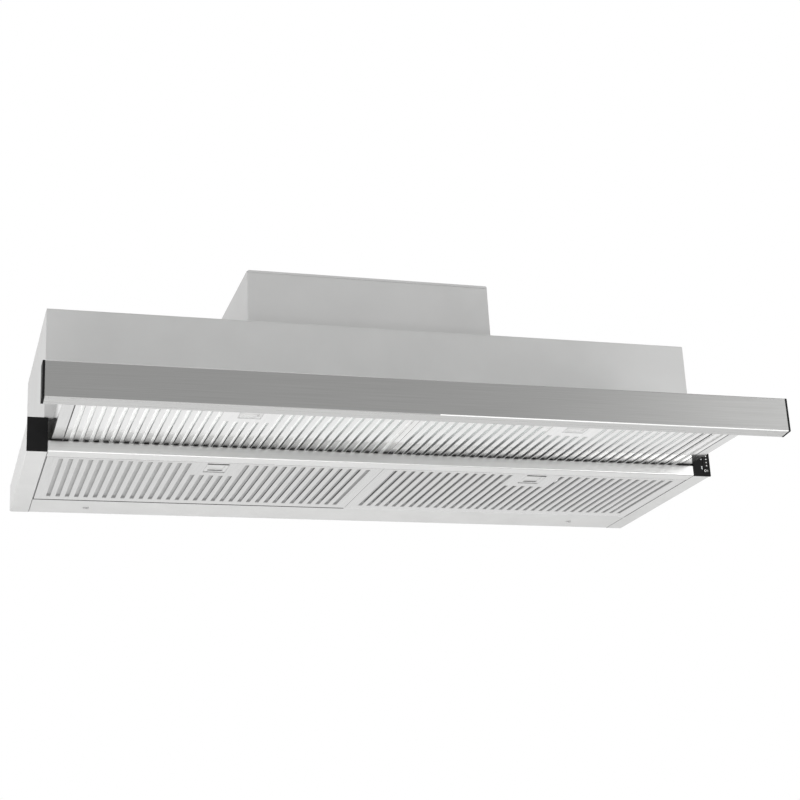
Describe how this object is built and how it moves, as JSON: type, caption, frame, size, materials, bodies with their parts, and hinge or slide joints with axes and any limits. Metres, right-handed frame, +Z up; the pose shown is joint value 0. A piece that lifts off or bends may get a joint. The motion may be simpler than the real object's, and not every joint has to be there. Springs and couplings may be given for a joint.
{
  "type": "pull out range hood",
  "caption": "Pull out range hood for a wall cabinet: boxed shell, sliding drawer with a steel fascia, slotted grease filters, black control cap.",
  "frame": {"origin": "on the wall plane, at mid width and at the level of the fixed body's underside", "axes": "+X to the right of a person facing the hood, +Y towards the wall, +Z up; the drawer comes out towards -Y"},
  "size_m": [0.898, 0.5, 0.306],
  "materials": {
    "shell_paint": "satin silver grey paint",
    "rail_paint": "satin light grey paint",
    "brushed_fascia": "brushed along its length",
    "filter_metal": "satin",
    "latch_plastic": "satin grey",
    "black_plastic": "fine satin grain",
    "key_plastic": "smooth",
    "light_pipe": "clear",
    "board": "lacquered",
    "zinc_steel": "zinc plated",
    "clear_panel": "clear",
    "nylon": "waxy",
    "buffer_rubber": "matte",
    "screw_steel": "bright zinc",
    "duct_plastic": "moulded",
    "scroll_plastic": "moulded",
    "wheel_plastic": "moulded",
    "motor_metal": "cast",
    "white_plastic": "moulded",
    "switch_plastic": "moulded"
  },
  "bodies": {
    "hood": {"wall_panel": "shell_paint", "body_front": "shell_paint", "body_side_left": "shell_paint", "body_side_right": "shell_paint", "body_top": "shell_paint", "motor_box": "shell_paint", "motor_box_lid": "shell_paint", "side_rail_left": "rail_paint", "side_rail_right": "rail_paint", "rear_rail": "rail_paint", "front_trim": "rail_paint", "left_cap": "black_plastic", "control_cap": "black_plastic", "control_board": "board", "status_lights": "light_pipe", "runner_left": "zinc_steel", "runner_right": "zinc_steel", "duct_collar": "duct_plastic", "flap_seat": "duct_plastic", "flap_pin": "screw_steel", "scroll_left": "scroll_plastic", "scroll_right": "scroll_plastic", "motor_bracket": "zinc_steel", "motor": "motor_metal", "capacitor": "white_plastic", "terminal_box": "white_plastic", "cable_gland": "duct_plastic", "drawer_switch": "switch_plastic", "shell_screws": "screw_steel"},
    "drawer": {"fascia": "brushed_fascia", "fascia_end_caps": "black_plastic", "drawer_front_rail": "rail_paint", "drawer_side_left": "rail_paint", "drawer_side_right": "rail_paint", "drawer_rear_rail": "rail_paint", "drawer_top_panel": "clear_panel", "drawer_glides": "nylon", "drawer_buffers": "buffer_rubber", "drawer_screws": "screw_steel", "upper_left_face": "filter_metal", "upper_left_baffle": "filter_metal", "upper_right_face": "filter_metal", "upper_right_baffle": "filter_metal"},
    "lower_left_filter": {"lower_left_face": "filter_metal", "lower_left_baffle": "filter_metal"},
    "lower_right_filter": {"lower_right_face": "filter_metal", "lower_right_baffle": "filter_metal"},
    "lower_left_latch": {"lower_left_latch": "latch_plastic"},
    "lower_right_latch": {"lower_right_latch": "latch_plastic"},
    "upper_left_latch": {"upper_left_latch": "latch_plastic"},
    "upper_right_latch": {"upper_right_latch": "latch_plastic"},
    "power_key": {"power_key": "key_plastic"},
    "speed_key_one": {"speed_key_one": "key_plastic"},
    "speed_key_two": {"speed_key_two": "key_plastic"},
    "speed_key_three": {"speed_key_three": "key_plastic"},
    "speed_key_four": {"speed_key_four": "key_plastic"},
    "flap_left": {"flap_left": "duct_plastic"},
    "flap_right": {"flap_right": "duct_plastic"},
    "impeller": {"impeller": "wheel_plastic", "motor_shaft": "screw_steel"},
    "switch_lever": {"switch_lever": "screw_steel"}
  },
  "joints": [
    {"name": "drawer_slide", "type": "slide", "parent": "hood", "child": "drawer", "axis": [0, 1, 0], "range_m": [0, 0.189]},
    {"name": "lower_left_tilt", "type": "hinge", "parent": "hood", "child": "lower_left_filter", "pos_m": [-0.2118, -0.0708, 0], "axis": [-1, 0, 0], "range_deg": [-35, 0]},
    {"name": "lower_right_tilt", "type": "hinge", "parent": "hood", "child": "lower_right_filter", "pos_m": [0.2118, -0.0708, 0], "axis": [-1, 0, 0], "range_deg": [-35, 0]},
    {"name": "lower_left_latch_slide", "type": "slide", "parent": "lower_left_filter", "child": "lower_left_latch", "axis": [0, 1, 0], "range_m": [0, 0.0045], "stiffness_N_per_m": 300},
    {"name": "lower_right_latch_slide", "type": "slide", "parent": "lower_right_filter", "child": "lower_right_latch", "axis": [0, 1, 0], "range_m": [0, 0.0045], "stiffness_N_per_m": 300},
    {"name": "upper_left_latch_slide", "type": "slide", "parent": "drawer", "child": "upper_left_latch", "axis": [0, 1, 0], "range_m": [0, 0.0045], "stiffness_N_per_m": 300},
    {"name": "upper_right_latch_slide", "type": "slide", "parent": "drawer", "child": "upper_right_latch", "axis": [0, 1, 0], "range_m": [0, 0.0045], "stiffness_N_per_m": 300},
    {"name": "power_key_press", "type": "slide", "parent": "hood", "child": "power_key", "axis": [0, 1, 0], "range_m": [0, 0.0012], "stiffness_N_per_m": 400},
    {"name": "speed_key_one_press", "type": "slide", "parent": "hood", "child": "speed_key_one", "axis": [0, 1, 0], "range_m": [0, 0.0012], "stiffness_N_per_m": 400},
    {"name": "speed_key_two_press", "type": "slide", "parent": "hood", "child": "speed_key_two", "axis": [0, 1, 0], "range_m": [0, 0.0012], "stiffness_N_per_m": 400},
    {"name": "speed_key_three_press", "type": "slide", "parent": "hood", "child": "speed_key_three", "axis": [0, 1, 0], "range_m": [0, 0.0012], "stiffness_N_per_m": 400},
    {"name": "speed_key_four_press", "type": "slide", "parent": "hood", "child": "speed_key_four", "axis": [0, 1, 0], "range_m": [0, 0.0012], "stiffness_N_per_m": 400},
    {"name": "flap_left_hinge", "type": "hinge", "parent": "hood", "child": "flap_left", "pos_m": [0, -0.1, 0.2814], "axis": [0, 1, 0], "range_deg": [0, 68]},
    {"name": "flap_right_hinge", "type": "hinge", "parent": "hood", "child": "flap_right", "pos_m": [0, -0.1, 0.2814], "axis": [0, -1, 0], "range_deg": [0, 68]},
    {"name": "impeller_spin", "type": "hinge", "parent": "hood", "child": "impeller", "pos_m": [0, -0.148, 0.14192], "axis": [1, 0, 0], "continuous": true},
    {"name": "switch_lever_hinge", "type": "hinge", "parent": "hood", "child": "switch_lever", "pos_m": [0.4139, -0.0206, 0.031], "axis": [1, 0, 0], "range_deg": [0, 12], "stiffness_Nm_per_rad": 0.02}
  ]
}
